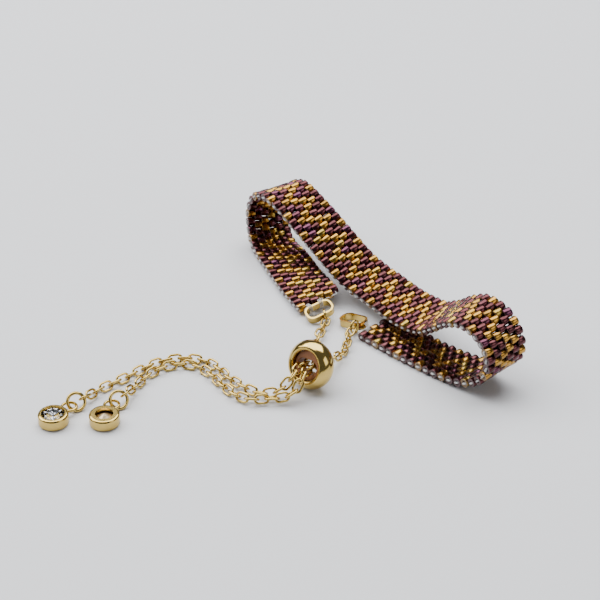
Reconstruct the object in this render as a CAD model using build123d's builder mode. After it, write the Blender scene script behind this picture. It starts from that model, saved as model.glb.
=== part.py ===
"""Beaded band bracelet, lying loosely folded, with a slider ball and two crystal drops.

Millimetres, +Z up, the surface it lies on at Z 0, seen from the front along +Y.
"""

import os
from collections import namedtuple
from math import asin, ceil, cos, radians, sin, sqrt

from build123d import *

os.makedirs("parts", exist_ok=True)

# The bead band
band_length = 138.6
band_width = 8.3
band_thickness = 1.6
band_lay_gap = 0.3

# The oblong end rings of flat strip
end_ring_length = 5.2
end_ring_width = 3.2
end_ring_height = 1.3
end_ring_wall = 0.35
end_ring_corner = 1.3
end_ring_a_gap = 0.45
end_ring_b_gap = 0.6

# The oval cable chains, and the round link that joins each to its end ring
link_length = 2.75
link_width = 1.85
chain_wire = 0.41
link_clearance = 0.18
link_roll = 45
link_settle = 0.3
joining_ring_bore = 1.8
joining_ring_shift = 0.12

# The slider ball and the grip inside it
ball_diameter = 8.5
ball_length = 4.4
ball_hole = 5.2
ball_rim_round = 0.5
core_gap = 0.05
core_slot_width = 3.9
core_slot_height = 2.3
core_slot_drop = 0.15
core_recess = 1.1
core_round = 0.2
lane_spacing = 1.6
lane_drop = 0.1
lane_fall = 0.3

# The drops: a bezel cup with a soldered eye, its stone, and the ring that carries it
setting_diameter = 5.1
setting_height = 2.0
setting_wall = 0.42
setting_floor = 0.4
setting_back_hole = 3.0
setting_lip = 0.17
setting_lip_height = 0.35
setting_round = 0.38
stone_gap = 0.06
stone_table = 2.5
stone_crown = 0.5
stone_girdle = 0.12
stone_culet = 0.2
stone_sides = 16
eye_bore = 1.9
eye_wire = 0.52
eye_bite = 0.2
jump_ring_diameter = 3.5
jump_ring_wire = 0.58

# How the pieces lie on the surface
ball_place = (1.85, -26.3)
ball_heading = 231
ball_rise = 20.5
ring_a_droop = 13
ring_a_slide = -1.15
ring_b_swing = 7
ring_b_slide = -1.6
hook_a_slide = 0.4
hook_a_turn = 15
hook_b_angle = 91
drop_a_place = (-40.5, -37.1)
drop_a_heading = 54
drop_b_place = (-32.1, -37.2)
drop_b_heading = 77
jump_ring_facing = -67
jump_ring_lean = 40

# Where on its jump ring a chain's last link holds, and the way that link points, in degrees
RingHold = namedtuple("RingHold", "angle heading rise")
jump_ring_a_hold = RingHold(15, 227, 12)
jump_ring_b_hold = RingHold(30, 246, 8)

# The folded band: along is the share of its length, right and away the place of its middle and
# rise its lift over what is below, all as shares of the length; under is the layers it crosses
# over; heading and tilt in degrees are the way its width runs, from front edge to back edge
BandRow = namedtuple("BandRow", "along right away under rise heading tilt")
BAND_ROWS = [
    BandRow(0.000, 0.026, -0.027, 0, 0.002, 24, 15),
    BandRow(0.060, 0.002, 0.027, 0, 0.000, 23, 12),
    BandRow(0.120, -0.020, 0.083, 0, 0.0005, 22, 9),
    BandRow(0.155, -0.032, 0.115, 0, 0.0015, 21, 0),
    BandRow(0.180, -0.040, 0.138, 0, 0.003, 21, -4),
    BandRow(0.200, -0.044, 0.154, 0, 0.013, 22, -6),
    BandRow(0.225, -0.045, 0.163, 0, 0.035, 25, -7),
    BandRow(0.250, -0.039, 0.160, 0, 0.060, 30, -5),
    BandRow(0.275, -0.028, 0.145, 0, 0.077, 35, 2),
    BandRow(0.300, -0.014, 0.126, 0, 0.076, 36, 12),
    BandRow(0.335, 0.007, 0.100, 0, 0.063, 35, 19),
    BandRow(0.390, 0.040, 0.062, 0, 0.039, 32, 24),
    BandRow(0.450, 0.075, 0.019, 0, 0.019, 33, 22),
    BandRow(0.510, 0.112, -0.027, 1, 0.001, 36, 19),
    BandRow(0.570, 0.146, -0.076, 1, 0.003, 38, 20),
    BandRow(0.605, 0.166, -0.104, 1, 0.012, 39, 18),
    BandRow(0.640, 0.182, -0.128, 0, 0.046, 39, 16),
    BandRow(0.675, 0.198, -0.150, 0, 0.068, 38, 16),
    BandRow(0.710, 0.218, -0.176, 0, 0.080, 36, 14),
    BandRow(0.735, 0.234, -0.194, 0, 0.075, 35, 9),
    BandRow(0.760, 0.244, -0.205, 0, 0.059, 37, 3),
    BandRow(0.785, 0.244, -0.205, 0, 0.036, 40, 1),
    BandRow(0.810, 0.232, -0.195, 0, 0.016, 44, 3),
    BandRow(0.835, 0.215, -0.181, 0, 0.005, 45, 2),
    BandRow(0.870, 0.188, -0.159, 0, 0.0015, 45, 0),
    BandRow(0.930, 0.144, -0.119, 0, 0.000, 45, 0),
    BandRow(1.000, 0.094, -0.070, 0, 0.000, 45, 0),
]

# Where each chain runs between its fixed ends: right, away, and the lift of its middle over the
# height at which it lies on the surface
ChainPoint = namedtuple("ChainPoint", "right away lift")
CHAIN_ROUTES = {
    "a_to_ball": [
        ChainPoint(4.2, -10.2, 0.3),
        ChainPoint(3.2, -13.2, 0.27),
        ChainPoint(2.9, -16.7, 0.15),
        ChainPoint(2.75, -19.7, 0.9),
    ],
    "a_tail": [
        ChainPoint(-1.04, -29.02, 3.38),
        ChainPoint(-2.09, -30.09, 2.3),
        ChainPoint(-3.15, -30.35, 1.21),
        ChainPoint(-4.58, -30.11, 0.39),
        ChainPoint(-6.47, -30.01, 0.15),
        ChainPoint(-9.94, -27.83, 0.3),
        ChainPoint(-12.0, -25.6, 0.1),
        ChainPoint(-13.8, -22.8, 0.05),
        ChainPoint(-16.1, -20.6, 0.05),
        ChainPoint(-19.2, -19.6, 0.03),
        ChainPoint(-22.4, -20.0, 0.03),
        ChainPoint(-25.5, -21.6, 0.03),
        ChainPoint(-28.1, -23.9, 0.03),
        ChainPoint(-30.8, -26.3, 0.03),
        ChainPoint(-33.4, -28.5, 0.05),
        ChainPoint(-34.8, -30.4, 0.3),
    ],
    "b_to_ball": [
        ChainPoint(8.55, -13.1, 0.35),
        ChainPoint(8.2, -15.5, 0.2),
        ChainPoint(7.53, -18.05, 0.18),
        ChainPoint(6.3, -20.63, 1.06),
    ],
    "b_tail": [
        ChainPoint(0.23, -30.2, 3.33),
        ChainPoint(-0.3, -31.09, 2.13),
        ChainPoint(-1.85, -31.79, 0.96),
        ChainPoint(-2.99, -31.97, 0.6),
        ChainPoint(-4.88, -31.79, 0.37),
        ChainPoint(-7.81, -32.06, 0.34),
        ChainPoint(-10.8, -30.4, 0.15),
        ChainPoint(-12.9, -27.9, 0.1),
        ChainPoint(-15.0, -24.6, 0.05),
        ChainPoint(-17.2, -22.3, 0.05),
        ChainPoint(-19.4, -21.4, 0.05),
        ChainPoint(-22.0, -21.7, 0.05),
        ChainPoint(-24.4, -23.1, 0.05),
        ChainPoint(-26.2, -25.1, 0.07),
        ChainPoint(-27.4, -27.4, 0.1),
        ChainPoint(-28.3, -29.6, 0.6),
    ],
}

UP = Vector(0, 0, 1)


def compass(heading, rise=0):
    """Unit vector that runs along a heading on the surface and rises from it by an angle."""
    level = cos(radians(rise))
    return Vector(level * cos(radians(heading)), level * sin(radians(heading)), sin(radians(rise)))


def row_slopes(places):
    """How fast a line through one place per band row runs at each row, smoothed over its sides."""
    spans = [after.along - before.along for before, after in zip(BAND_ROWS, BAND_ROWS[1:])]
    steps = [(after - before) / span for before, after, span in zip(places, places[1:], spans)]
    inner = [
        (steps[number] * spans[number + 1] + steps[number + 1] * spans[number])
        / (spans[number] + spans[number + 1])
        for number in range(len(steps) - 1)
    ]
    return [steps[0], *inner, steps[-1]]


def band_stations():
    """Middle, width direction and run direction of the band at each row of its table."""
    middles = []
    widths = []
    for row in BAND_ROWS:
        slope = abs(sin(radians(row.tilt)))
        below = row.under * (band_thickness + band_lay_gap) + row.rise * band_length
        height = below + (band_thickness * cos(radians(row.tilt)) + band_width * slope) / 2
        middles.append(Vector(row.right * band_length, row.away * band_length, height))
        widths.append(compass(row.heading, row.tilt))
    square_runs = [
        (run - width * run.dot(width)).normalized()
        for run, width in zip(row_slopes(middles), widths)
    ]
    return list(zip(middles, widths, square_runs))


stations = band_stations()


def corner_line(across, over):
    """Smooth line through one corner of the band's section, as an edge from each row to the next."""
    corners = [
        middle + width * (across * band_width / 2) + run.cross(width) * (over * band_thickness / 2)
        for middle, width, run in stations
    ]
    slopes = row_slopes(corners)
    edges = []
    for number in range(len(corners) - 1):
        third = (BAND_ROWS[number + 1].along - BAND_ROWS[number].along) / 3
        start, end = corners[number], corners[number + 1]
        edges.append(
            Edge.make_bezier(
                start, start + slopes[number] * third, end - slopes[number + 1] * third, end
            )
        )
    return edges


def band_skin():
    """Closed skin of the band: ruled faces between its corner lines, and its two ends."""
    lines = [corner_line(-1, -1), corner_line(1, -1), corner_line(1, 1), corner_line(-1, 1)]
    faces = [
        Face.make_surface_from_curves(edge, next_edge)
        for number, line in enumerate(lines)
        for edge, next_edge in zip(lines[number - 1], line)
    ]
    for corners in ([line[0] @ 0 for line in lines], [line[-1] @ 1 for line in lines]):
        faces.append(Face(Wire.make_polygon(corners, close=True)))
    return Shell(faces)


with BuildPart() as band:
    add(Solid(band_skin()))

# The end rings: one hangs from the band's upper end, the other lies before its lower end
start_middle, start_width, start_run = stations[0]
start_face = start_run.cross(start_width)
if start_face.Z < 0:
    start_face = -start_face
ring_a_out = -start_run * cos(radians(ring_a_droop)) - start_face * sin(radians(ring_a_droop))
ring_a_reach = end_ring_a_gap + end_ring_width / 2
ring_a_plane = Plane(
    origin=start_middle + ring_a_out * ring_a_reach + start_width * ring_a_slide,
    x_dir=start_width,
    z_dir=ring_a_out.cross(start_width),
)

end_middle, end_width, end_out = stations[-1]
joining_radius = (joining_ring_bore + chain_wire) / 2
corner_wall = end_ring_corner - end_ring_wall / 2
corner_x = end_ring_length / 2 - end_ring_corner
corner_y = end_ring_width / 2 - end_ring_corner
hook_b_x = -corner_x + corner_wall * cos(radians(hook_b_angle))
hook_b_y = corner_y + corner_wall * sin(radians(hook_b_angle))
hook_b_lift = joining_radius + chain_wire / 2 - end_ring_height / 2
ring_b_tip = asin(hook_b_lift / (end_ring_length / 2 - hook_b_x))
ring_b_axis = end_out.rotate(Axis.Z, ring_b_swing)
ring_b_place = (
    end_middle
    + end_out * (end_ring_b_gap + end_ring_width / 2)
    + end_width * ring_b_slide
    + ring_b_axis * (end_ring_length - end_ring_width) / 2
)
ring_b_height = (end_ring_height * cos(ring_b_tip) + end_ring_length * sin(ring_b_tip)) / 2
ring_b_plane = Plane(
    origin=(ring_b_place.X, ring_b_place.Y, ring_b_height),
    x_dir=ring_b_axis * cos(ring_b_tip) - UP * sin(ring_b_tip),
    z_dir=UP * cos(ring_b_tip) + ring_b_axis * sin(ring_b_tip),
)


def end_ring(plane):
    """Oblong ring of flat strip, standing on edge in the plane it is placed by."""
    with BuildPart() as ring:
        with BuildSketch(plane):
            RectangleRounded(end_ring_length, end_ring_width, end_ring_corner)
            RectangleRounded(
                end_ring_length - 2 * end_ring_wall,
                end_ring_width - 2 * end_ring_wall,
                end_ring_corner - end_ring_wall,
                mode=Mode.SUBTRACT,
            )
        extrude(amount=end_ring_height / 2, both=True)
    return ring


end_ring_a = end_ring(ring_a_plane)
end_ring_b = end_ring(ring_b_plane)

# The ball, turned so that its hole rises towards the tails, and the grip inside it
mouth_radius = ball_hole / 2
mouth_reach = ball_length / 2
ball_bulge = (ball_diameter - ball_hole) / 2
ball_arc = (mouth_reach**2 + ball_bulge**2) / (2 * ball_bulge)
ball_arc_place = ball_diameter / 2 - ball_arc
ball_axis = compass(ball_heading, ball_rise)
ball_across = ball_axis.cross(UP).normalized()
ball_above = ball_across.cross(ball_axis)
ball_middle = Vector(*ball_place, ball_arc_place * cos(radians(ball_rise)) + ball_arc)
ball_plane = Plane(origin=ball_middle, x_dir=ball_across, z_dir=ball_axis)

with BuildPart() as slider_ball:
    with BuildSketch(Plane(origin=ball_middle, x_dir=ball_across, z_dir=ball_above)) as ball_wall:
        with BuildLine():
            ThreePointArc(
                (mouth_radius, mouth_reach), (ball_diameter / 2, 0), (mouth_radius, -mouth_reach)
            )
            Line((mouth_radius, -mouth_reach), (mouth_radius, mouth_reach))
        make_face()
        fillet(ball_wall.vertices(), ball_rim_round)
    revolve(axis=Axis(ball_middle, ball_axis))

with BuildPart(ball_plane) as slider_core:
    Cylinder(mouth_radius - core_gap, 2 * (mouth_reach - core_recess))
    with BuildSketch(ball_plane):
        with Locations((0, core_slot_drop)):
            SlotOverall(core_slot_width, core_slot_height)
    extrude(amount=ball_length, both=True, mode=Mode.SUBTRACT)
    fillet(slider_core.faces().filter_by(ball_plane).edges(), core_round)

# The drops: a cup with its eye, a stone, and the jump ring that leans through the eye
FROM_BOTTOM = (Align.CENTER, Align.CENTER, Align.MIN)
cup_radius = setting_diameter / 2
pocket_radius = cup_radius - setting_wall
pocket_top = setting_height - setting_lip_height
eye_radius = (eye_bore + eye_wire) / 2
eye_offset = cup_radius - eye_bite + eye_radius + eye_wire / 2
eye_height = setting_height / 2
jump_radius = (jump_ring_diameter - jump_ring_wire) / 2
jump_height = jump_radius * cos(radians(jump_ring_lean)) + jump_ring_wire / 2


def setting(plane):
    """Round bezel cup with an open back, an inward lip and an eye soldered to its side."""
    with BuildPart(plane) as cup:
        Cylinder(cup_radius, setting_height, align=FROM_BOTTOM)
        fillet(cup.edges().filter_by(GeomType.CIRCLE), setting_round)
        with Locations((eye_offset, 0, eye_height)):
            Torus(eye_radius, eye_wire / 2)
        with Locations((0, 0, setting_floor)):
            Cylinder(
                pocket_radius, pocket_top - setting_floor, align=FROM_BOTTOM, mode=Mode.SUBTRACT
            )
            Cylinder(
                pocket_radius - setting_lip, setting_height, align=FROM_BOTTOM, mode=Mode.SUBTRACT
            )
        Cylinder(setting_back_hole / 2, setting_height, align=FROM_BOTTOM, mode=Mode.SUBTRACT)
    return cup


def stone(plane):
    """Round cut stone: table, crown, girdle, and a pavilion down to a small culet."""
    girdle_radius = pocket_radius - stone_gap
    table_height = setting_height - stone_gap
    girdle_top = table_height - stone_crown
    outlines = [
        (stone_gap, stone_culet / 2),
        (girdle_top - stone_girdle, girdle_radius),
        (girdle_top, girdle_radius),
        (table_height, stone_table / 2),
    ]
    with BuildPart() as gem:
        for height, radius in outlines:
            with BuildSketch(plane.offset(height)):
                RegularPolygon(radius, stone_sides)
        loft(ruled=True)
    return gem


def eye_place(place, heading):
    """Middle of a drop's eye."""
    return Vector(*place, eye_height) + compass(heading) * eye_offset


def jump_ring_plane(eye):
    """Plane of the leaning ring whose wire goes down through the middle of an eye."""
    facing = compass(jump_ring_facing, jump_ring_lean)
    level = UP.cross(facing).normalized()
    climb = facing.cross(level)
    sink = (eye.Z - jump_height) / (jump_radius * cos(radians(jump_ring_lean)))
    middle = eye + (level * sqrt(1 - sink**2) - climb * sink) * jump_radius
    return Plane(origin=middle, x_dir=level, z_dir=facing)


def jump_ring(plane):
    """Round wire ring between a chain and its drop."""
    with BuildPart(plane) as ring:
        Torus(jump_radius, jump_ring_wire / 2)
    return ring


def jump_ring_hold(plane, hold):
    """Where a chain ends: its last link runs on past the wire of the jump ring that it holds."""
    angle = radians(hold.angle)
    wire = plane.from_local_coords(Vector(cos(angle), sin(angle), 0) * jump_radius)
    return wire + compass(hold.heading, hold.rise) * (jump_ring_wire + link_clearance) / 2


drop_a_plane = Plane(origin=(*drop_a_place, 0), x_dir=compass(drop_a_heading), z_dir=UP)
drop_b_plane = Plane(
    origin=(*drop_b_place, setting_height), x_dir=compass(drop_b_heading), z_dir=-UP
)
jump_a_plane = jump_ring_plane(eye_place(drop_a_place, drop_a_heading))
jump_b_plane = jump_ring_plane(eye_place(drop_b_place, drop_b_heading))

setting_a = setting(drop_a_plane)
setting_b = setting(drop_b_plane)
stone_a = stone(drop_a_plane)
stone_b = stone(drop_b_plane)
jump_ring_a = jump_ring(jump_a_plane)
jump_ring_b = jump_ring(jump_b_plane)

# The chains: oval links, turned in pairs to either side, and the round link at the end ring
link_arc = (link_width - chain_wire) / 2
link_straight = (link_length - link_width) / 2
link_pitch = link_length - 2 * chain_wire - link_clearance
chain_rest = link_arc * sin(radians(link_roll)) + chain_wire / 2

with BuildPart() as link:
    with BuildLine() as link_path:
        Line((-link_straight, -link_arc), (link_straight, -link_arc))
        ThreePointArc(
            (link_straight, -link_arc),
            (link_straight + link_arc, 0),
            (link_straight, link_arc),
        )
        Line((link_straight, link_arc), (-link_straight, link_arc))
        ThreePointArc(
            (-link_straight, link_arc),
            (-link_straight - link_arc, 0),
            (-link_straight, -link_arc),
        )
    with BuildSketch(Plane(origin=(-link_straight, -link_arc, 0), z_dir=(1, 0, 0))):
        Circle(chain_wire / 2)
    sweep()


def joining_plane(ring_plane, wall, outward):
    """Plane of the round link that goes round an end ring's wall at a place of its own plane."""
    wall_place = ring_plane.from_local_coords(Vector(*wall, 0))
    out = (ring_plane.from_local_coords(Vector(*outward, 0)) - ring_plane.origin).normalized()
    return Plane(
        origin=wall_place + out * joining_ring_shift, x_dir=out, z_dir=out.cross(ring_plane.z_dir)
    )


def joining_hold(plane):
    """Where a chain's first link meets the round link."""
    reach = (joining_ring_bore - link_clearance) / 2
    return plane.from_local_coords(Vector(reach, 0, 0))


def lane_points(side):
    """Three points of one of the two chain lanes through the ball, from back to front."""
    middle = ball_middle + ball_across * (side * lane_spacing / 2) - ball_above * lane_drop
    half_lane = ball_axis * mouth_reach - ball_above * lane_fall
    return [middle - half_lane, middle, middle + half_lane]


def route_points(name):
    """Points of a named stretch of chain, at their heights over the surface."""
    return [Vector(p.right, p.away, chain_rest + p.lift) for p in CHAIN_ROUTES[name]]


def link_planes(points, first_face):
    """Planes of the links of a chain whose joints lie evenly on a smooth line through points.

    Each link is turned a quarter against the one before. The first faces as given, and the rest
    settle until the links lean to either side by the same angle.
    """
    with BuildLine():
        route = Spline(*points)
    link_count = ceil(route.length / link_pitch)
    joints = [route.position_at(number / link_count) for number in range(link_count + 1)]
    lean = radians(link_roll if link_count % 2 == 0 else -link_roll)
    face = first_face
    planes = []
    for number, (joint, next_joint) in enumerate(zip(joints, joints[1:])):
        ahead = (next_joint - joint).normalized()
        side = UP.cross(ahead)
        settled = ahead.cross(side) * cos(lean) + side * sin(lean)
        face = face + settled * (link_settle if number else 0)
        face = (face - ahead * face.dot(ahead)).normalized()
        turned = ahead.cross(face) if number % 2 else face
        planes.append(Plane(origin=(joint + next_joint) / 2, x_dir=ahead, z_dir=turned))
    return planes


def chain(first_plane, points):
    """A whole chain: the round link at the end ring, then the oval links of its route."""
    with BuildPart() as strand:
        with Locations(first_plane):
            Torus(joining_radius, chain_wire / 2)
        with Locations(*link_planes(points, first_plane.y_dir)):
            add(link.part)
    return strand


hook_a_wall = (hook_a_slide, -(end_ring_width - end_ring_wall) / 2)
hook_a_out = (-sin(radians(hook_a_turn)), -cos(radians(hook_a_turn)))
join_a_plane = joining_plane(ring_a_plane, hook_a_wall, hook_a_out)
hook_b_out = (cos(radians(hook_b_angle)), sin(radians(hook_b_angle)))
join_b_plane = joining_plane(ring_b_plane, (hook_b_x, hook_b_y), hook_b_out)

chain_a_points = [
    joining_hold(join_a_plane),
    *route_points("a_to_ball"),
    *lane_points(1),
    *route_points("a_tail"),
    jump_ring_hold(jump_a_plane, jump_ring_a_hold),
]
chain_b_points = [
    joining_hold(join_b_plane),
    *route_points("b_to_ball"),
    *lane_points(-1),
    *route_points("b_tail"),
    jump_ring_hold(jump_b_plane, jump_ring_b_hold),
]
chain_a = chain(join_a_plane, chain_a_points)
chain_b = chain(join_b_plane, chain_b_points)

# Every piece is moved so that the origin is under the middle of the whole bracelet
pieces = {
    "band": band,
    "end_ring_a": end_ring_a,
    "end_ring_b": end_ring_b,
    "chain_a": chain_a,
    "chain_b": chain_b,
    "slider_ball": slider_ball,
    "slider_core": slider_core,
    "setting_a": setting_a,
    "setting_b": setting_b,
    "stone_a": stone_a,
    "stone_b": stone_b,
    "jump_ring_a": jump_ring_a,
    "jump_ring_b": jump_ring_b,
}
boxes = [piece.part.bounding_box() for piece in pieces.values()]
lowest = Vector(*(min(getattr(box.min, axis) for box in boxes) for axis in "XYZ"))
highest = Vector(*(max(getattr(box.max, axis) for box in boxes) for axis in "XYZ"))
home = Vector(-(lowest.X + highest.X) / 2, -(lowest.Y + highest.Y) / 2, -lowest.Z)

for name, piece in pieces.items():
    piece.part.move(Location(home))
    piece.part.label = name
    export_step(piece.part, f"parts/{name}.step")
    print(name, len(piece.part.solids()), piece.part.bounding_box())
print("home", home)
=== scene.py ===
"""Looks of a beaded band bracelet with a slider ball and two crystal drops.

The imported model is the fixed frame. The bead band, its threads and the cut stones are built here
in mesh code; the rings, chains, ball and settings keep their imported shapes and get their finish.
Lengths are millimetres until a mesh is made. +Z is up and the front view looks along +Y.
"""

from __future__ import annotations

import logging
import math
from dataclasses import dataclass, field
from enum import Enum
from typing import Any, NamedTuple

import bpy
import numpy as np
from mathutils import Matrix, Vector

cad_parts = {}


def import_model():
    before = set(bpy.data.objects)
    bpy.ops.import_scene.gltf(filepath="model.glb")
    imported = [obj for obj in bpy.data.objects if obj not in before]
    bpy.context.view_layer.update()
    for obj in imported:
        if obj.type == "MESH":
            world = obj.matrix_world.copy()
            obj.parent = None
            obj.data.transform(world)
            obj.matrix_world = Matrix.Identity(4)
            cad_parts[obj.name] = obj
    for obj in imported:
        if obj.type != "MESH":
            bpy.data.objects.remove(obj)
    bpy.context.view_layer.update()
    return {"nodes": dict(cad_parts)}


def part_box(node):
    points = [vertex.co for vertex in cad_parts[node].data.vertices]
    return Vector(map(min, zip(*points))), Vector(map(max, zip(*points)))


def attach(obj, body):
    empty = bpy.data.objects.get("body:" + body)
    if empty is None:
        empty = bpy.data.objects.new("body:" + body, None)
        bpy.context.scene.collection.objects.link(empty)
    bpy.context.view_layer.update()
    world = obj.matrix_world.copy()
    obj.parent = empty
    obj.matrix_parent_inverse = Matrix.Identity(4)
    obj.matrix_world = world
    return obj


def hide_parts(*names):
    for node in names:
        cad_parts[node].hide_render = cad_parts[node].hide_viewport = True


LOG = logging.getLogger("bracelet")

MM = 0.001
SEED = 20
BODY = "root"

# Where the ball lies, from the middle of the view on the surface
BALL_PLACE = (1.85, -26.3, 4.126)


class BandRow(NamedTuple):
    """One row of the folded band: the same shares of its length as in the part's source."""

    along: float
    right: float
    away: float
    under: int
    rise: float
    heading: float
    tilt: float


BAND_ROWS = [
    BandRow(0.000, 0.026, -0.027, 0, 0.002, 24, 15),
    BandRow(0.060, 0.002, 0.027, 0, 0.000, 23, 12),
    BandRow(0.120, -0.020, 0.083, 0, 0.0005, 22, 9),
    BandRow(0.155, -0.032, 0.115, 0, 0.0015, 21, 0),
    BandRow(0.180, -0.040, 0.138, 0, 0.003, 21, -4),
    BandRow(0.200, -0.044, 0.154, 0, 0.013, 22, -6),
    BandRow(0.225, -0.045, 0.163, 0, 0.035, 25, -7),
    BandRow(0.250, -0.039, 0.160, 0, 0.060, 30, -5),
    BandRow(0.275, -0.028, 0.145, 0, 0.077, 35, 2),
    BandRow(0.300, -0.014, 0.126, 0, 0.076, 36, 12),
    BandRow(0.335, 0.007, 0.100, 0, 0.063, 35, 19),
    BandRow(0.390, 0.040, 0.062, 0, 0.039, 32, 24),
    BandRow(0.450, 0.075, 0.019, 0, 0.019, 33, 22),
    BandRow(0.510, 0.112, -0.027, 1, 0.001, 36, 19),
    BandRow(0.570, 0.146, -0.076, 1, 0.003, 38, 20),
    BandRow(0.605, 0.166, -0.104, 1, 0.012, 39, 18),
    BandRow(0.640, 0.182, -0.128, 0, 0.046, 39, 16),
    BandRow(0.675, 0.198, -0.150, 0, 0.068, 38, 16),
    BandRow(0.710, 0.218, -0.176, 0, 0.080, 36, 14),
    BandRow(0.735, 0.234, -0.194, 0, 0.075, 35, 9),
    BandRow(0.760, 0.244, -0.205, 0, 0.059, 37, 3),
    BandRow(0.785, 0.244, -0.205, 0, 0.036, 40, 1),
    BandRow(0.810, 0.232, -0.195, 0, 0.016, 44, 3),
    BandRow(0.835, 0.215, -0.181, 0, 0.005, 45, 2),
    BandRow(0.870, 0.188, -0.159, 0, 0.0015, 45, 0),
    BandRow(0.930, 0.144, -0.119, 0, 0.000, 45, 0),
    BandRow(1.000, 0.094, -0.070, 0, 0.000, 45, 0),
]


class Glaze(Enum):
    """The two bead colours of the pattern."""

    GOLD = "G"
    BURGUNDY = "M"


# The bead colours from the front edge to the back edge, for one bead of each column in turn
PATTERN = ("GMGMMM", "MGGGGM", "MMMGMG")

# What the random shifts of each colour's beads start from, beside SEED
GLAZE_SEEDS = {Glaze.GOLD: 4, Glaze.BURGUNDY: 8}


class Value:
    """A shader socket in an expression: its operators add Math nodes."""

    def __init__(self, shader: Shader, socket: bpy.types.NodeSocket) -> None:
        """Keeps the socket and the shader it belongs to."""
        self.shader = shader
        self.socket = socket

    def _math(self, operation: str, first: Any, second: Any) -> Value:
        """Adds one Math node on two values and gives its result."""
        return self.shader.add("ShaderNodeMath", {"operation": operation}, {0: first, 1: second})[0]

    def __add__(self, other: Any) -> Value:
        """Sum with a number or a value."""
        return self._math("ADD", self, other)

    def __radd__(self, other: Any) -> Value:
        """Sum with a number on the left."""
        return self._math("ADD", other, self)

    def __sub__(self, other: Any) -> Value:
        """Difference with a number or a value."""
        return self._math("SUBTRACT", self, other)

    def __rsub__(self, other: Any) -> Value:
        """Difference from a number on the left."""
        return self._math("SUBTRACT", other, self)

    def __mul__(self, other: Any) -> Value:
        """Product with a number or a value."""
        return self._math("MULTIPLY", self, other)

    def __rmul__(self, other: Any) -> Value:
        """Product with a number on the left."""
        return self._math("MULTIPLY", other, self)


class Shader:
    """One material's node tree, built through a single node-making method."""

    def __init__(self, name: str) -> None:
        """Makes an empty material.

        Args:
            name: The material's name.
        """
        self.material = bpy.data.materials.new(name)
        self.material.use_nodes = True
        self.tree = self.material.node_tree
        self.tree.nodes.clear()

    def add(self, kind: str, settings: dict[str, Any], sockets: dict[str | int, Any]) -> list[Value]:
        """Makes one node.

        Args:
            kind: The node's type.
            settings: Its settings, set first; "stops" are a ramp's places and colours.
            sockets: Values or links of its sockets, by name or number.

        Returns:
            Its outputs, each wrapped for use in expressions.
        """
        node = self.tree.nodes.new(kind)
        for setting, choice in settings.items():
            if setting == "stops":
                stops = node.color_ramp.elements
                while len(stops) < len(choice):
                    stops.new(1.0)
                for stop, (place, colour) in zip(stops, choice):
                    stop.position = place
                    stop.color = colour
            else:
                setattr(node, setting, choice)
        for key, given in sockets.items():
            if isinstance(given, Value):
                self.tree.links.new(given.socket, node.inputs[key])
            else:
                node.inputs[key].default_value = given
        return [Value(self, output) for output in node.outputs]

    def noise(self, scale: float, detail: float = 2.0) -> Value:
        """Noise over the object's own coordinates, from about 0 to 1."""
        places = self.add("ShaderNodeTexCoord", {}, {})[3]
        return self.add(
            "ShaderNodeTexNoise", {}, {"Vector": places, "Scale": scale, "Detail": detail}
        )[0]

    def mix(self, share: Any, first: Any, second: Any) -> Value:
        """Mixes two colours by a share."""
        return self.add(
            "ShaderNodeMix", {"data_type": "RGBA"}, {0: share, 6: first, 7: second}
        )[2]

    def bump(self, height: Value, strength: float, distance: float) -> Value:
        """Normals bumped by a height, with the distance in metres."""
        return self.add(
            "ShaderNodeBump", {}, {"Strength": strength, "Distance": distance, "Height": height}
        )[0]

    def finish(self, sockets: dict[str, Any]) -> bpy.types.Material:
        """Ends the tree in a Principled surface.

        Args:
            sockets: Values or links of the surface's sockets.

        Returns:
            The finished material.
        """
        surface = self.add("ShaderNodeBsdfPrincipled", {}, sockets)[0]
        self.add("ShaderNodeOutputMaterial", {}, {"Surface": surface})
        return self.material


Colour = tuple[float, float, float, float]


@dataclass(frozen=True)
class PolishedMetal:
    """Polished plated metal with faint wear that dulls it in places."""

    name: str
    colour: Colour
    worn_colour: Colour
    roughness: float = 0.08
    wear_scale: float = 420.0
    wear_detail: float = 4.0
    wear_dulling: float = 0.08
    scratch_scale: float = 2600.0
    scratch_detail: float = 3.0
    scratch_dulling: float = 0.04
    scratch_strength: float = 0.12
    scratch_depth: float = 0.00001

    def build(self) -> bpy.types.Material:
        """Makes the material.

        Returns:
            The finished material.
        """
        shader = Shader(self.name)
        wear = shader.noise(self.wear_scale, self.wear_detail)
        scratches = shader.noise(self.scratch_scale, self.scratch_detail)
        dulling = wear * self.wear_dulling
        colour = shader.mix(wear * wear, self.colour, self.worn_colour)
        return shader.finish(
            {
                "Base Color": colour,
                "Metallic": 1.0,
                "Roughness": self.roughness + dulling + scratches * self.scratch_dulling,
                "Normal": shader.bump(scratches, self.scratch_strength, self.scratch_depth),
            }
        )


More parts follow.
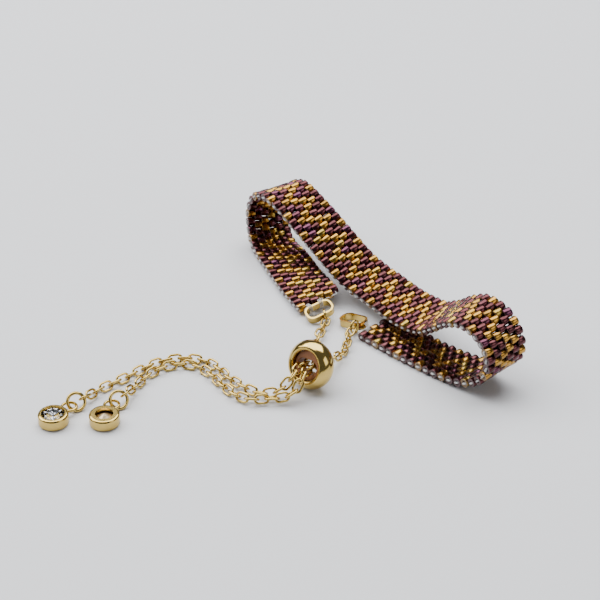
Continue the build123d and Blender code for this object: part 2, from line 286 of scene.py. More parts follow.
@dataclass(frozen=True)
class BeadGlaze:
    """Metallic glaze of a seed bead: each bead has its own tone, with a painted highlight colour
    mixed in by noise patches, and its ends show the glass.
    """

    name: str
    deep: Colour
    bright: Colour
    shifted: Colour
    # Painted highlight: a lighter colour that noise patches mix into each bead's glaze
    painted_sheen: Colour
    glass: Colour
    metallic: float = 1.0
    roughness: float = 0.18
    tone_places: tuple[float, ...] = (0.0, 0.5, 0.75, 1.0)
    cloud_scale: float = 1500.0
    cloud_detail: float = 3.0
    cloud_dulling: float = 0.12
    cloud_strength: float = 0.2
    cloud_depth: float = 0.00002
    glass_dulling: float = 0.2
    coat: float = 0.06
    coat_roughness: float = 0.06

    def build(self) -> bpy.types.Material:
        """Makes the material.

        Returns:
            The finished material.
        """
        shader = Shader(self.name)
        tone = shader.add("ShaderNodeAttribute", {"attribute_name": "tone"}, {})[2]
        bare = shader.add("ShaderNodeAttribute", {"attribute_name": "bare"}, {})[2]
        cloud = shader.noise(self.cloud_scale, self.cloud_detail)
        stops = list(zip(self.tone_places, (self.deep, self.bright, self.bright, self.shifted)))
        body = shader.add("ShaderNodeValToRGB", {"stops": stops}, {0: tone})[0]
        # Painted highlight: noise patches mix the highlight colour into each bead's tone
        with_painted_sheen = shader.mix(cloud * cloud, body, self.painted_sheen)
        dulling = cloud * self.cloud_dulling
        return shader.finish(
            {
                "Base Color": shader.mix(bare, with_painted_sheen, self.glass),
                "Metallic": self.metallic * (1.0 - bare),
                "Roughness": self.roughness + dulling + bare * self.glass_dulling,
                "Coat Weight": self.coat,
                "Coat Roughness": self.coat_roughness,
                "Normal": shader.bump(cloud, self.cloud_strength, self.cloud_depth),
            }
        )


@dataclass(frozen=True)
class TwistedThread:
    """Thin nylon thread with a fine twist."""

    name: str
    colour: Colour
    shade: Colour
    roughness: float = 0.45
    twist_scale: float = 9000.0
    twist_dulling: float = 0.2
    twist_strength: float = 0.4
    twist_depth: float = 0.00003

    def build(self) -> bpy.types.Material:
        """Makes the material.

        Returns:
            The finished material.
        """
        shader = Shader(self.name)
        twist = shader.noise(self.twist_scale)
        return shader.finish(
            {
                "Base Color": shader.mix(twist, self.shade, self.colour),
                "Roughness": self.roughness + twist * self.twist_dulling,
                "Normal": shader.bump(twist, self.twist_strength, self.twist_depth),
            }
        )


@dataclass(frozen=True)
class SatinRubber:
    """Dark brown rubber with a fine moulded grain."""

    name: str
    colour: Colour
    light: Colour
    roughness: float = 0.4
    grain_scale: float = 3200.0
    grain_detail: float = 4.0
    grain_dulling: float = 0.2
    grain_strength: float = 0.3
    grain_depth: float = 0.00004

    def build(self) -> bpy.types.Material:
        """Makes the material.

        Returns:
            The finished material.
        """
        shader = Shader(self.name)
        grain = shader.noise(self.grain_scale, self.grain_detail)
        return shader.finish(
            {
                "Base Color": shader.mix(grain, self.colour, self.light),
                "Roughness": self.roughness + grain * self.grain_dulling,
                "Normal": shader.bump(grain, self.grain_strength, self.grain_depth),
            }
        )


@dataclass(frozen=True)
class CutCrystal:
    """Clear cut glass with faint fine marks."""

    name: str
    tint: Colour
    refraction: float = 1.6
    mark_scale: float = 1800.0
    mark_detail: float = 3.0
    mark_dulling: float = 0.03

    def build(self) -> bpy.types.Material:
        """Makes the material.

        Returns:
            The finished material.
        """
        shader = Shader(self.name)
        marks = shader.noise(self.mark_scale, self.mark_detail)
        return shader.finish(
            {
                "Base Color": self.tint,
                "Roughness": marks * self.mark_dulling,
                "IOR": self.refraction,
                "Transmission Weight": 1.0,
            }
        )


@dataclass(frozen=True)
class MirrorFoil:
    """Foil on the back facets of a stone."""

    name: str
    bright: Colour
    dark: Colour
    roughness: float
    cloud_scale: float = 700.0
    cloud_dulling: float = 0.06

    def build(self) -> bpy.types.Material:
        """Makes the material.

        Returns:
            The finished material.
        """
        shader = Shader(self.name)
        cloud = shader.noise(self.cloud_scale)
        return shader.finish(
            {
                "Base Color": shader.mix(cloud, self.bright, self.dark),
                "Metallic": 1.0,
                "Roughness": self.roughness + cloud * self.cloud_dulling,
            }
        )


@dataclass(frozen=True)
class PlainPaint:
    """Matt paint of the floor."""

    name: str
    colour: Colour
    shade: Colour
    roughness: float = 0.65
    cloud_scale: float = 6.0

    def build(self) -> bpy.types.Material:
        """Makes the material.

        Returns:
            The finished material.
        """
        shader = Shader(self.name)
        colour = shader.mix(shader.noise(self.cloud_scale), self.colour, self.shade)
        return shader.finish({"Base Color": colour, "Roughness": self.roughness})


@dataclass(frozen=True)
class Finishes:
    """Every finish of the bracelet and its floor."""

    gold: PolishedMetal = PolishedMetal(
        "polished_gold", (0.66, 0.475, 0.14, 1.0), (0.37, 0.25, 0.065, 1.0)
    )
    gold_beads: BeadGlaze = BeadGlaze(
        "gold_bead_glaze",
        deep=(0.17, 0.074, 0.013, 1.0),
        bright=(0.38, 0.185, 0.029, 1.0),
        shifted=(0.25, 0.19, 0.04, 1.0),
        # painted highlight colour, mixed in by noise patches
        painted_sheen=(0.62, 0.37, 0.075, 1.0),
        glass=(0.24, 0.15, 0.08, 1.0),
    )
    burgundy_beads: BeadGlaze = BeadGlaze(
        "burgundy_bead_glaze",
        deep=(0.04, 0.012, 0.012, 1.0),
        bright=(0.08, 0.023, 0.025, 1.0),
        shifted=(0.1, 0.03, 0.07, 1.0),
        # painted highlight colour, mixed in by noise patches
        painted_sheen=(0.17, 0.062, 0.07, 1.0),
        glass=(0.1, 0.05, 0.05, 1.0),
    )
    thread: TwistedThread = TwistedThread(
        "pale_thread", (0.8, 0.8, 0.82, 1.0), (0.5, 0.49, 0.48, 1.0)
    )
    rubber: SatinRubber = SatinRubber(
        "brown_rubber", (0.22, 0.08, 0.03, 1.0), (0.42, 0.18, 0.08, 1.0)
    )
    crystal: CutCrystal = CutCrystal("clear_crystal", (0.98, 0.99, 1.0, 1.0))
    foil: MirrorFoil = MirrorFoil(
        "silver_foil", (0.98, 0.98, 1.0, 1.0), (0.75, 0.75, 0.8, 1.0), 0.03
    )
    back_foil: MirrorFoil = MirrorFoil(
        "bronze_foil", (0.8, 0.66, 0.42, 1.0), (0.5, 0.37, 0.2, 1.0), 0.38
    )
    floor: PlainPaint = PlainPaint("pale_floor", (0.76, 0.77, 0.8, 1.0), (0.72, 0.73, 0.76, 1.0))


def unit(vectors: np.ndarray) -> np.ndarray:
    """Vectors of length 1 along the given ones."""
    return vectors / np.linalg.norm(vectors, axis=-1, keepdims=True)


def compass(heading: float, rise: float = 0.0) -> np.ndarray:
    """Unit vector along a heading on the surface.

    Args:
        heading: Degrees from +X towards +Y.
        rise: Degrees above the surface.

    Returns:
        The vector.
    """
    level = math.cos(math.radians(rise))
    turn = math.radians(heading)
    return np.array([level * math.cos(turn), level * math.sin(turn), math.sin(math.radians(rise))])


def row_slopes(places: np.ndarray) -> np.ndarray:
    """How fast a line through one place per band row runs at each row.

    Args:
        places: One place per row.

    Returns:
        The slopes, smoothed over the sides of each row.
    """
    spans = np.diff([row.along for row in BAND_ROWS])[:, None]
    steps = np.diff(places, axis=0) / spans
    inner = (steps[:-1] * spans[1:] + steps[1:] * spans[:-1]) / (spans[:-1] + spans[1:])
    return np.vstack([steps[:1], inner, steps[-1:]])


def mesh_object(
    name: str,
    vertices: np.ndarray,
    faces: list[tuple[int, ...]],
    materials: list[bpy.types.Material],
) -> bpy.types.Object:
    """Makes a mesh object from places in millimetres.

    Args:
        name: The piece's name.
        vertices: Its vertices.
        faces: Its faces.
        materials: Its materials, in slot order.

    Returns:
        The new object.
    """
    mesh = bpy.data.meshes.new(name)
    mesh.from_pydata((vertices * MM).tolist(), [], faces)
    for material in materials:
        mesh.materials.append(material)
    thing = bpy.data.objects.new(name, mesh)
    bpy.context.scene.collection.objects.link(thing)
    return thing


def strand_object(
    name: str, paths: list[np.ndarray], radius: float, material: bpy.types.Material
) -> bpy.types.Object:
    """Makes thin round strands along paths.

    Args:
        name: The piece's name.
        paths: Control points of each strand, in millimetres, each with its share of the radius
            where a fourth number gives one.
        radius: The strands' radius.
        material: Their material.

    Returns:
        The new curve object.
    """
    curve = bpy.data.curves.new(name, "CURVE")
    curve.dimensions = "3D"
    curve.bevel_depth = radius * MM
    curve.bevel_resolution = 2
    curve.use_fill_caps = True
    curve.resolution_u = 4
    for path in paths:
        spline = curve.splines.new("NURBS")
        spline.points.add(len(path) - 1)
        for point, place in zip(spline.points, path):
            point.co = (*(place[:3] * MM), 1.0)
            point.radius = place[3] if len(place) > 3 else 1.0
        spline.order_u = 3
        spline.use_endpoint_u = True
    curve.materials.append(material)
    thing = bpy.data.objects.new(name, curve)
    bpy.context.scene.collection.objects.link(thing)
    return thing


def place_piece(thing: bpy.types.Object, replaced: tuple[str, ...] = ()) -> None:
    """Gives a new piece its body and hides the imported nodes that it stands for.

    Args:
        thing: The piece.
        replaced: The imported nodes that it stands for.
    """
    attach(thing, BODY)
    if replaced:
        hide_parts(*replaced)
    LOG.info("%s rides on %s", thing.name, BODY)


class Section(NamedTuple):
    """The band's cross-section at each of several places along it."""

    middle: np.ndarray
    width: np.ndarray
    over: np.ndarray
    run: np.ndarray


@dataclass
class BandCourse:
    """The line and twist of the folded band, through the rows of its table."""

    home: np.ndarray
    length: float = 138.6
    width: float = 8.3
    thickness: float = 1.6
    lay_gap: float = 0.3
    samples: int = 1401
    corners: np.ndarray = field(init=False)
    slopes: np.ndarray = field(init=False)
    shares: np.ndarray = field(init=False)
    distances: np.ndarray = field(init=False)

    def __post_init__(self) -> None:
        """Works out the corner lines and the true distances along the band."""
        middles = []
        widths = []
        for row in BAND_ROWS:
            tilt = math.radians(row.tilt)
            below = row.under * (self.thickness + self.lay_gap) + row.rise * self.length
            half = (self.thickness * math.cos(tilt) + self.width * abs(math.sin(tilt))) / 2
            middles.append([row.right * self.length, row.away * self.length, below + half])
            widths.append(compass(row.heading, row.tilt))
        middle = np.array(middles)
        width = np.array(widths)
        slopes = row_slopes(middle)
        run = unit(slopes - width * (slopes * width).sum(axis=1, keepdims=True))
        over = np.cross(run, width)
        sides = ((-1, -1), (1, -1), (1, 1), (-1, 1))
        self.corners = np.array(
            [
                middle + width * across * self.width / 2 + over * top * self.thickness / 2
                for across, top in sides
            ]
        )
        self.slopes = np.array([row_slopes(line) for line in self.corners])
        self.shares = np.linspace(0, 1, self.samples)
        line = self._corner_places(self.shares).mean(axis=0)
        steps = np.linalg.norm(np.diff(line, axis=0), axis=1)
        self.distances = np.concatenate([[0], np.cumsum(steps)])

    def _corner_places(self, shares: np.ndarray) -> np.ndarray:
        """Places of the four corner lines.

        Args:
            shares: Shares of the band's length.

        Returns:
            For each corner line, its place at each share.
        """
        alongs = np.array([row.along for row in BAND_ROWS])
        number = np.clip(np.searchsorted(alongs, shares, side="right") - 1, 0, len(alongs) - 2)
        span = alongs[number + 1] - alongs[number]
        part = ((shares - alongs[number]) / span)[:, None]
        start, end = self.corners[:, number], self.corners[:, number + 1]
        leave = self.slopes[:, number] * span[:, None]
        arrive = self.slopes[:, number + 1] * span[:, None]
        return (
            start * (2 * part**3 - 3 * part**2 + 1)
            + leave * (part**3 - 2 * part**2 + part)
            + end * (3 * part**2 - 2 * part**3)
            + arrive * (part**3 - part**2)
        )

    @property
    def true_length(self) -> float:
        """Length of the band's middle line."""
        return float(self.distances[-1])

    def section(self, distances: np.ndarray) -> Section:
        """The band's cross-section at distances along its middle line.

        Args:
            distances: Millimetres from the first end; a little past an end is straight on.

        Returns:
            Middle, width, over and run directions at each distance.
        """
        inside = np.clip(distances, 0, self.true_length)
        shares = np.interp(inside, self.distances, self.shares)
        corner = self._corner_places(shares)
        width = unit(corner[1] + corner[2] - corner[0] - corner[3])
        over = unit(corner[2] + corner[3] - corner[0] - corner[1])
        run = np.cross(width, over)
        middle = corner.mean(axis=0) + run * (distances - inside)[:, None] + self.home
        return Section(middle, width, over, run)


@dataclass
class BeadBand:
    """The woven band: two meshes of cylindrical seed beads, and the threads at its edges."""

    course: BandCourse
    finishes: Finishes
    columns: int = 6
    rows: int = 84
    pattern_rows: int = 3
    column_pitch: float = 1.383
    bead_length: float = 1.375
    bead_radius: float = 0.81
    bead_hole: float = 0.36
    bead_round: float = 0.03
    bead_sides: int = 18
    # Back from a bead's end and out from its hole
    mouth_steps: tuple[tuple[float, float], ...] = ((0.12, 0.0), (0.02, 0.05), (0.0, 0.12))
    # Back from its end and in from its side, in roundings
    rim_steps: tuple[tuple[float, float], ...] = ((0.0, 1.6), (0.3, 0.5), (1.2, 0.0))
    bare_rim: float = 1.5
    sharp_angle: float = 38.0
    place_jitter: float = 0.03
    across_jitter_share: float = 0.5
    tilt_jitter: float = 0.045
    size_jitter: float = 0.012
    thread_radius: float = 0.14
    thread_depth: float = 0.3
    thread_bulge: float = 0.14
    thread_aside: float = 0.22
    thread_spread: float = 1.5
    # The turns at the band's ends: their share of the radius, then how they run
    end_share: float = 0.5
    end_inset: float = 0.35
    end_root: float = 0.4
    end_reach: float = 0.42
    end_middle: float = 0.5
    end_lift: float = 0.35

    @property
    def pitch(self) -> float:
        """Distance from one bead of a column to the next."""
        return self.course.true_length / self.rows

    def _profile(self) -> np.ndarray:
        """Outline of a bead from its hole over one end, its side and the other end.

        Returns:
            Places along the bead's axis and out from it.
        """
        half = self.bead_length / 2
        radius, rounding, hole = self.bead_radius, self.bead_round, self.bead_hole
        side = [(half - back, hole + out) for back, out in self.mouth_steps]
        side += [(half - back * rounding, radius - deep * rounding) for back, deep in self.rim_steps]
        return np.array(side + [(-along, out) for along, out in reversed(side)])

    def _bead(self) -> tuple[np.ndarray, list[tuple[int, ...]], np.ndarray]:
        """One bead about its own middle, with its axis along x.

        Returns:
            Its vertices, its faces and how bare of glaze each vertex is.
        """
        profile = self._profile()
        turns = np.linspace(0, 2 * math.pi, self.bead_sides, endpoint=False)
        rings = [
            np.column_stack(
                [np.full(self.bead_sides, along), out * np.cos(turns), out * np.sin(turns)]
            )
            for along, out in profile
        ]
        rim = self.bead_radius - self.bare_rim * self.bead_round
        bare = np.repeat(profile[:, 1] < rim, self.bead_sides)
        faces = []
        for ring in range(len(profile)):
            after = (ring + 1) % len(profile)
            for side in range(self.bead_sides):
                beside = (side + 1) % self.bead_sides
                faces.append(
                    (
                        ring * self.bead_sides + side,
                        after * self.bead_sides + side,
                        after * self.bead_sides + beside,
                        ring * self.bead_sides + beside,
                    )
                )
        return np.vstack(rings), faces, bare.astype(float)

    def _bead_rows(self, column: int) -> np.ndarray:
        """Numbers of the beads of one column, where odd columns lie half a pitch on.

        Args:
            column: The column, from 0 at the front edge.

        Returns:
            The row numbers, which the pattern is read by.
        """
        first = -(column // 2)
        count = self.rows - column % 2
        return np.arange(first, first + count)

    def _bead_distances(self, column: int) -> np.ndarray:
        """Distances along the band of the beads of one column."""
        return (self._bead_rows(column) + 0.5 + column / 2) * self.pitch

    def _bead_mesh(self, name: str, glaze: Glaze, material: bpy.types.Material) -> bpy.types.Object:
        """Joins every bead of one glaze into a mesh.

        Args:
            name: The piece's name.
            glaze: Which beads of the pattern it holds.
            material: Their glaze.

        Returns:
            The new object.
        """
        chance = np.random.default_rng([SEED, GLAZE_SEEDS[glaze]])
        bead, bead_faces, bead_bare = self._bead()
        vertices, faces, tones, bare = [], [], [], []
        for column in range(self.columns):
            across = (column - (self.columns - 1) / 2) * self.column_pitch
            section = self.course.section(self._bead_distances(column))
            for place, row in enumerate(self._bead_rows(column)):
                if PATTERN[row % self.pattern_rows][column] != glaze.value:
                    continue
                shift = chance.normal(0, self.place_jitter, 3)
                lean = chance.normal(0, self.tilt_jitter, 2)
                size = 1 + chance.normal(0, self.size_jitter)
                width, over, run = section.width[place], section.over[place], section.run[place]
                axis = unit(width + run * lean[0] + over * lean[1])
                out = unit(over - axis * over.dot(axis))
                level = np.cross(out, axis)
                aside = across + shift[0] * self.across_jitter_share
                middle = section.middle[place] + width * aside + run * shift[1] + over * shift[2]
                start = len(vertices) * len(bead)
                turned = np.outer(bead[:, 0], axis) + np.outer(bead[:, 1], level)
                vertices.append(middle + (turned + np.outer(bead[:, 2], out)) * size)
                faces += [tuple(start + corner for corner in face) for face in bead_faces]
                tones.append(np.full(len(bead), chance.random()))
                bare.append(bead_bare)
        thing = mesh_object(name, np.vstack(vertices), faces, [material])
        for attribute, values in (("tone", tones), ("bare", bare)):
            layer = thing.data.attributes.new(attribute, "FLOAT", "POINT")
            layer.data.foreach_set("value", np.concatenate(values).astype(np.float32))
        thing.data.shade_smooth()
        thing.data.set_sharp_from_angle(angle=math.radians(self.sharp_angle))
        return thing

    def _edge_turns(self, column: int) -> list[np.ndarray]:
        """Thread turns from each outer bead of one edge to the next.

        Args:
            column: The edge's column.

        Returns:
            Control points of each turn.
        """
        side = 1 if column else -1
        section = self.course.section(self._bead_distances(column))
        outer = side * ((self.columns - 1) / 2 * self.column_pitch + self.bead_length / 2)
        paths = []
        for place in range(len(section.middle) - 1):
            turn = []
            for number, onward in ((place, 1), (place + 1, -1)):
                width = section.width[number] * side
                aside = section.run[number] * onward * self.thread_aside
                mouth = section.middle[number] + section.width[number] * outer
                turn += [
                    mouth - width * self.thread_depth,
                    mouth + width * self.thread_bulge,
                    mouth + width * self.thread_bulge + aside,
                    mouth - width * self.thread_depth + aside * self.thread_spread,
                ]
            paths.append(np.array(turn[:4] + turn[:3:-1]))
        return paths

    def _end_turns(self) -> list[np.ndarray]:
        """Thread turns over the stepped beads at both ends of the band.

        Returns:
            Control points of each turn, with their share of the thread's radius.
        """
        paths = []
        for outward, distance in ((-1, 0.0), (1, self.course.true_length)):
            section = self.course.section(np.array([distance]))
            middle, width = section.middle[0], section.width[0]
            run, over = section.run[0] * outward, section.over[0]
            for column in range(self.columns - 1):
                across = (column - (self.columns - 1) / 2) * self.column_pitch
                start = middle + width * across - run * self.end_inset
                end = middle + width * (across + self.column_pitch) - run * self.end_inset
                lift = over * self.bead_radius * self.end_lift
                points = np.array(
                    [
                        start - run * self.end_root,
                        start + run * self.end_reach + lift,
                        (start + end) / 2 + run * self.end_middle - lift,
                        end + run * self.end_reach + lift,
                        end - run * self.end_root,
                    ]
                )
                paths.append(np.column_stack([points, np.full(len(points), self.end_share)]))
        return paths

    def build(self) -> None:
        """Makes the bead meshes and the threads, and puts them in place of the plain band."""
        gold = self._bead_mesh("gold_beads", Glaze.GOLD, self.finishes.gold_beads.build())
        place_piece(gold, ("band",))
        burgundy = self._bead_mesh(
            "burgundy_beads", Glaze.BURGUNDY, self.finishes.burgundy_beads.build()
        )
        place_piece(burgundy, ("band",))
        turns = self._edge_turns(0) + self._edge_turns(self.columns - 1) + self._end_turns()
        threads = strand_object(
            "weaving_thread", turns, self.thread_radius, self.finishes.thread.build()
        )
        place_piece(threads, ("band",))


@dataclass
class RingLashing:
    """Thread loops that tie the band's ends to the end rings."""

    course: BandCourse
    finishes: Finishes
    ring_length: float = 5.2
    ring_height: float = 1.3
    ring_wall: float = 0.35
    ring_a_gap: float = 0.45
    ring_a_droop: float = 13.0
    ring_a_slide: float = -1.15
    ring_b_heading: float = 142.0
    ring_a_turns: tuple[float, ...] = (-1.35, -1.1, -0.85, 0.75, 1.0, 1.25)
    ring_a_fan: float = 1.15
    ring_a_root: float = 0.7
    ring_b_turns: tuple[float, ...] = (-0.3, 0.0, 0.3)
    ring_b_root: float = 0.6
    thread_radius: float = 0.07
    thread_clear: float = 0.1
    root_spread: float = 0.25
    # Shares of half the ring's height or wall that a loop's bends reach
    near_height: float = 0.9
    crest_height: float = 1.1
    far_bulge: float = 1.15

    def _loop(
        self, wall: np.ndarray, out: np.ndarray, up: np.ndarray, anchor: np.ndarray
    ) -> np.ndarray:
        """One thread loop from the band round a ring's wall and back.

        Args:
            wall: Middle of the ring's wall.
            out: From the band through the wall, into the ring.
            up: Along the wall's height.
            anchor: Where the loop leaves the band.

        Returns:
            Its control points.
        """
        half_height = self.ring_height / 2 + self.thread_clear
        half_wall = self.ring_wall / 2 + self.thread_clear
        return np.array(
            [
                anchor + up * self.root_spread,
                wall - out * half_wall + up * half_height * self.near_height,
                wall + up * half_height * self.crest_height,
                wall + out * half_wall + up * half_height,
                wall + out * half_wall * self.far_bulge,
                wall + out * half_wall - up * half_height,
                wall - up * half_height * self.crest_height,
                wall - out * half_wall - up * half_height * self.near_height,
                anchor - up * self.root_spread,
            ]
        )

    def _ring_a_loops(self) -> list[np.ndarray]:
        """Loops over the long wall of the first ring.

        Returns:
            Control points of each loop.
        """
        section = self.course.section(np.array([0.0]))
        width, run, over = section.width[0], section.run[0], section.over[0]
        face = over if over[2] > 0 else -over
        droop = math.radians(self.ring_a_droop)
        out = -run * math.cos(droop) - face * math.sin(droop)
        up = face * math.cos(droop) - run * math.sin(droop)
        end = section.middle[0] + width * self.ring_a_slide
        wall = end + out * (self.ring_a_gap + self.ring_wall / 2)
        loops = []
        for across in self.ring_a_turns:
            anchor = end + width * across * self.ring_a_fan + run * self.ring_a_root
            loops.append(self._loop(wall + width * across, out, up, anchor))
        return loops

    def _ring_b_loops(self) -> list[np.ndarray]:
        """Loops from the second ring's near wall to the middle of the band's last end.

        Returns:
            Control points of each loop.
        """
        section = self.course.section(np.array([self.course.true_length]))
        run, width = section.run[0], section.width[0]
        low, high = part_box("end_ring_b")
        centre = np.array((low + high) / 2) / MM
        end = section.middle[0]
        towards = compass(self.ring_b_heading + 180)
        wall = centre + towards * (self.ring_length - self.ring_wall) / 2
        up = np.array([0.0, 0.0, 1.0])
        along = np.cross(up, towards)
        level = width.dot(wall - end)
        loops = []
        for across in self.ring_b_turns:
            anchor = end + width * (level + across) - run * self.ring_b_root
            loops.append(self._loop(wall + along * across, -towards, up, anchor))
        return loops

    def build(self) -> None:
        """Makes the loops of both ends as one piece of thread."""
        loops = self._ring_a_loops() + self._ring_b_loops()
        lashing = strand_object(
            "ring_lashing", loops, self.thread_radius, self.finishes.thread.build()
        )
        place_piece(lashing)


@dataclass
class CutStone:
    """A round brilliant cut stone with foil on its back facets."""

    finishes: Finishes
    girdle_radius: float = 2.07
    table_radius: float = 1.25
    star_radius: float = 1.62
    crown: float = 0.5
    girdle: float = 0.12
    culet_radius: float = 0.1
    mains: int = 8
    star_drop: float = 0.42
    pavilion_drop: float = 0.55
    pavilion_share: float = 0.45

    def _ring(
        self, centre: np.ndarray, radius: float, height: float, count: int, turn: float
    ) -> np.ndarray:
        """Corners of the facets at one height.

        Args:
            centre: Middle of the stone on the surface.
            radius: How far out the corners are.
            height: How high they are.
            count: How many they are.
            turn: Angle of the first one.

        Returns:
            The corners, in order round the stone.
        """
        turns = turn + np.arange(count) * 2 * math.pi / count
        places = [radius * np.cos(turns), radius * np.sin(turns), np.full(count, height)]
        return np.column_stack(places) + np.array([centre[0], centre[1], 0.0])

    def _vertices(
        self, centre: np.ndarray, top: float, bottom: float, turn: float
    ) -> np.ndarray:
        """Corners of every facet of a stone.

        Args:
            centre: Middle of the stone on the surface.
            top: Height of its table.
            bottom: Height of its culet.
            turn: Angle of its first facet.

        Returns:
            The corners of table, stars, both sides of the girdle, pavilion and culet.
        """
        side = 1 if top > bottom else -1
        girdle_top = top - side * self.crown
        girdle_low = girdle_top - side * self.girdle
        star_height = top - side * self.crown * self.star_drop
        pavilion_height = girdle_low + (bottom - girdle_low) * self.pavilion_drop
        pavilion_radius = self.girdle_radius * self.pavilion_share
        mains, half_turn = self.mains, turn + math.pi / self.mains
        return np.vstack(
            [
                self._ring(centre, self.table_radius, top, mains, turn),
                self._ring(centre, self.star_radius, star_height, mains, half_turn),
                self._ring(centre, self.girdle_radius, girdle_top, 2 * mains, turn),
                self._ring(centre, self.girdle_radius, girdle_low, 2 * mains, turn),
                self._ring(centre, pavilion_radius, pavilion_height, mains, half_turn),
                self._ring(centre, self.culet_radius, bottom, mains, turn),
            ]
        )

    def _crown_faces(self) -> list[tuple[int, ...]]:
        """Facets of the table, the crown and the girdle.

        Returns:
            The corner numbers of each facet.
        """
        mains = self.mains
        table, star, upper, lower = 0, mains, 2 * mains, 4 * mains
        faces = [tuple(table + number for number in range(mains))]
        for number in range(mains):
            after, before = (number + 1) % mains, (number - 1) % mains
            rim, middle, far = 2 * number, 2 * number + 1, (2 * number + 2) % (2 * mains)
            faces.append((table + number, star + number, table + after))
            faces.append((table + number, star + before, upper + rim, star + number))
            faces.append((star + number, upper + rim, upper + middle))
            faces.append((star + number, upper + middle, upper + far))
            faces.append((upper + rim, lower + rim, lower + middle, upper + middle))
            faces.append((upper + middle, lower + middle, lower + far, upper + far))
        return faces

    def _back_faces(self) -> list[tuple[int, ...]]:
        """Facets of the pavilion and the culet.

        Returns:
            The corner numbers of each facet.
        """
        mains = self.mains
        lower, back, culet = 4 * mains, 6 * mains, 7 * mains
        faces = []
        for number in range(mains):
            after, before = (number + 1) % mains, (number - 1) % mains
            rim, middle, far = 2 * number, 2 * number + 1, (2 * number + 2) % (2 * mains)
            faces.append((lower + rim, back + number, lower + middle))
            faces.append((lower + middle, back + number, lower + far))
            faces.append((lower + rim, back + before, culet + number, back + number))
            faces.append((back + number, culet + number, culet + after))
        faces.append(tuple(culet + number for number in reversed(range(mains))))
        return faces

    def build(self, name: str, node: str, face_up: bool, turn: float) -> None:
        """Makes one stone in place of its plain solid.

        Args:
            name: The piece's name.
            node: The solid that it stands for.
            face_up: Whether its table faces up.
            turn: Angle of its first facet in degrees.
        """
        low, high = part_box(node)
        centre = np.array((low + high) / 2) / MM
        heights = (high.z / MM, low.z / MM) if face_up else (low.z / MM, high.z / MM)
        vertices = self._vertices(centre, *heights, math.radians(turn))
        crown, back = self._crown_faces(), self._back_faces()
        foil_finish = self.finishes.foil if face_up else self.finishes.back_foil
        materials = [self.finishes.crystal.build(), foil_finish.build()]
        thing = mesh_object(name, vertices, crown + back, materials)
        thing.data.polygons.foreach_set("material_index", [0] * len(crown) + [1] * len(back))
        thing.data.update()
        place_piece(thing, (node,))


@dataclass
class MetalPieces:
    """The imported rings, chains, ball, grip and settings, which keep their shapes."""

    finishes: Finishes
    nodes: dict[str, bpy.types.Object]
    gold_nodes: tuple[str, ...] = (
        "end_ring_a",
        "end_ring_b",
        "chain_a",
        "chain_b",
        "slider_ball",
        "setting_a",
        "setting_b",
        "jump_ring_a",
        "jump_ring_b",
    )
    rubber_nodes: tuple[str, ...] = ("slider_core",)

    def _dress(self, names: tuple[str, ...], material: bpy.types.Material) -> None:
        """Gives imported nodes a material.

        Args:
            names: The nodes.
            material: What they are made of.
        """
        for name in names:
            for slot in self.nodes[name].material_slots:
                slot.material = material
            LOG.info("%s keeps its shape and is %s", name, material.name)

    def build(self) -> None:
        """Dresses every piece of metal and rubber."""
        self._dress(self.gold_nodes, self.finishes.gold.build())
        self._dress(self.rubber_nodes, self.finishes.rubber.build())


class LightPanel(NamedTuple):
    """A soft light: where it stands in degrees and metres, its size in metres and its watts."""

    name: str
    heading: float
    rise: float
    reach: float
    size: tuple[float, float]
    power: float


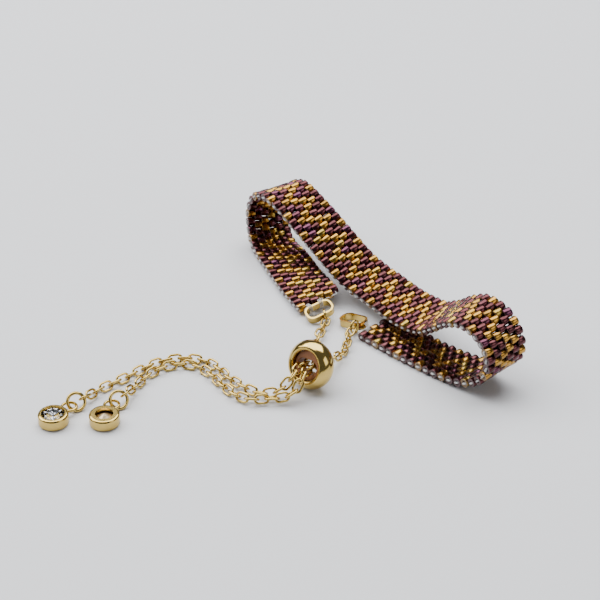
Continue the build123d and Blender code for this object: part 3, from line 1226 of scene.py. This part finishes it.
@dataclass
class Studio:
    """Plain pale floor, soft lights and the camera at the photograph's angle."""

    home: np.ndarray
    finishes: Finishes
    elevation: float = 33.0
    distance: float = 327.3
    lens: float = 108.0
    sensor: float = 36.0
    nearest: float = 0.01
    floor_size: float = 6000.0
    world_colour: Colour = (0.86, 0.89, 0.93, 1.0)
    world_strength: float = 0.15
    lights: tuple[LightPanel, ...] = (
        LightPanel("overhead", 100, 66, 0.8, (1.2, 0.8), 17.0),
        LightPanel("left_window", 165, 35, 1.1, (0.8, 0.6), 6.0),
        LightPanel("right_fill", -30, 30, 1.2, (0.6, 0.6), 2.5),
    )

    def _floor(self) -> None:
        """Lays the floor."""
        half = self.floor_size / 2
        corners = np.array([[-half, -half, 0], [half, -half, 0], [half, half, 0], [-half, half, 0]])
        floor = mesh_object(
            "floor", corners.astype(float), [(0, 1, 2, 3)], [self.finishes.floor.build()]
        )

    def _light(self, panel: LightPanel) -> None:
        """Adds a soft light panel that faces the bracelet.

        Args:
            panel: The light.
        """
        lamp = bpy.data.lights.new(panel.name, "AREA")
        lamp.shape = "RECTANGLE"
        lamp.size, lamp.size_y = panel.size
        lamp.energy = panel.power
        thing = bpy.data.objects.new(panel.name, lamp)
        direction = Vector(compass(panel.heading, panel.rise))
        thing.location = direction * panel.reach
        thing.rotation_euler = direction.to_track_quat("Z", "Y").to_euler()
        bpy.context.scene.collection.objects.link(thing)

    def _world(self) -> None:
        """Fills the room with soft light."""
        world = bpy.data.worlds.new("room")
        world.use_nodes = True
        background = world.node_tree.nodes["Background"]
        background.inputs["Color"].default_value = self.world_colour
        background.inputs["Strength"].default_value = self.world_strength
        bpy.context.scene.world = world

    def _camera(self) -> None:
        """Sets the camera at the photograph's angle."""
        camera = bpy.data.cameras.new("camera")
        camera.lens = self.lens
        camera.sensor_width = self.sensor
        camera.clip_start = self.nearest
        thing = bpy.data.objects.new("camera", camera)
        back = compass(-90, self.elevation) * self.distance
        thing.location = (self.home + back) * MM
        thing.rotation_euler = (math.radians(90 - self.elevation), 0, 0)
        bpy.context.scene.collection.objects.link(thing)
        bpy.context.scene.camera = thing

    def build(self) -> None:
        """Sets up the floor, the lights and the camera."""
        self._floor()
        for panel in self.lights:
            self._light(panel)
        self._world()
        self._camera()


def main() -> None:
    """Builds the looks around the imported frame, piece by piece."""
    logging.basicConfig(level=logging.INFO, format="%(name)s: %(message)s")
    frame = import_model()
    low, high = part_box("slider_ball")
    home = np.array((low + high) / 2) / MM - np.array(BALL_PLACE)
    finishes = Finishes()
    Studio(home, finishes).build()
    course = BandCourse(home)
    BeadBand(course, finishes).build()
    RingLashing(course, finishes).build()
    stone = CutStone(finishes)
    stone.build("crystal_a", "stone_a", face_up=True, turn=10.0)
    stone.build("crystal_b", "stone_b", face_up=False, turn=25.0)
    MetalPieces(finishes, frame["nodes"]).build()


if __name__ == "__main__":
    main()
